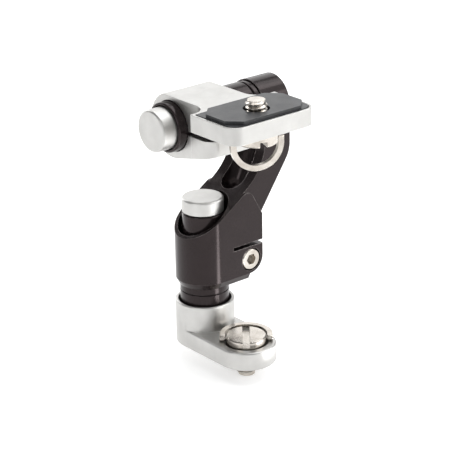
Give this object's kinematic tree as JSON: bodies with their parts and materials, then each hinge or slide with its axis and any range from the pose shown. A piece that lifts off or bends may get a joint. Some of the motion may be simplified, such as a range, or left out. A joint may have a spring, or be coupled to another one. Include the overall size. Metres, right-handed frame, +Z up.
{
  "type": "two-axis pan and tilt mount",
  "caption": "Compact pan and tilt mount: silver foot and platform, black gooseneck bracket, push-button rotary locks and captive ring screws.",
  "frame": {"origin": "on the pan axis at the foot's underside", "axes": "+Z up along the pan axis, +X along the tilt axis from its button towards the arm, the foot's tongue and the platform point to -Y"},
  "size_m": [0.0466, 0.0454, 0.0889],
  "materials": {
    "silver": "satin clear anodised",
    "black": "satin black anodised",
    "nickel": "bright nickel plate",
    "steel": "turned",
    "bronze": "sintered",
    "spring": "drawn",
    "rubber": "matt"
  },
  "bodies": {
    "foot": {"base_foot": "silver", "base_set_screw": "steel", "pan_spindle": "steel", "base_screw_clip": "spring"},
    "base_screw": {"base_screw": "nickel"},
    "base_ring": {"base_ring": "nickel"},
    "bracket": {"bracket": "black", "bracket_pinch_bolt": "nickel", "pan_tube": "black", "pan_bush": "bronze", "pan_spring": "spring", "tilt_spindle": "black", "tilt_end_cap": "black", "tilt_end_bolt": "steel"},
    "pan_button": {"pan_button": "silver", "pan_plunger": "black", "pan_lock_cone": "bronze", "pan_lock_nut": "steel"},
    "platform": {"platform": "silver", "platform_pad": "rubber", "platform_jaw_bolt": "steel", "tilt_tube": "black", "tilt_bush": "bronze", "tilt_spring": "spring", "camera_screw_clip": "spring"},
    "tilt_button": {"tilt_button": "silver", "tilt_plunger": "black", "tilt_lock_cone": "bronze", "tilt_lock_nut": "steel"},
    "camera_screw": {"camera_screw": "nickel"},
    "camera_ring": {"camera_ring": "nickel"}
  },
  "joints": [
    {"name": "pan_turn", "type": "hinge", "parent": "foot", "child": "bracket", "pos_m": [0, 0, 0.03], "axis": [0, 0, 1], "continuous": true},
    {"name": "pan_press", "type": "slide", "parent": "bracket", "child": "pan_button", "axis": [0, 0, -1], "range_m": [0, 0.003], "stiffness_N_per_m": 700, "springref_m": -0.004, "deforming": ["pan_spring"]},
    {"name": "tilt_turn", "type": "hinge", "parent": "bracket", "child": "platform", "pos_m": [0, 0, 0.0715], "axis": [-1, 0, 0], "range_deg": [-50, 180]},
    {"name": "tilt_press", "type": "slide", "parent": "platform", "child": "tilt_button", "axis": [1, 0, 0], "range_m": [0, 0.003], "stiffness_N_per_m": 700, "springref_m": -0.004, "deforming": ["tilt_spring"]},
    {"name": "base_screw_turn", "type": "hinge", "parent": "foot", "child": "base_screw", "pos_m": [0, -0.0194, 0.004], "axis": [0, 0, 1], "continuous": true},
    {"name": "base_ring_flip", "type": "hinge", "parent": "base_screw", "child": "base_ring", "pos_m": [0, -0.0194, 0.00675], "axis": [0.7727, -0.6347, 0], "range_deg": [0, 175]},
    {"name": "camera_screw_turn", "type": "hinge", "parent": "platform", "child": "camera_screw", "pos_m": [-0.0019, -0.0275, 0.0735], "axis": [0, 0, 1], "continuous": true},
    {"name": "camera_ring_flip", "type": "hinge", "parent": "camera_screw", "child": "camera_ring", "pos_m": [-0.0019, -0.0275, 0.0727], "axis": [-0.9336, 0.3584, 0], "range_deg": [-50, 88]}
  ]
}
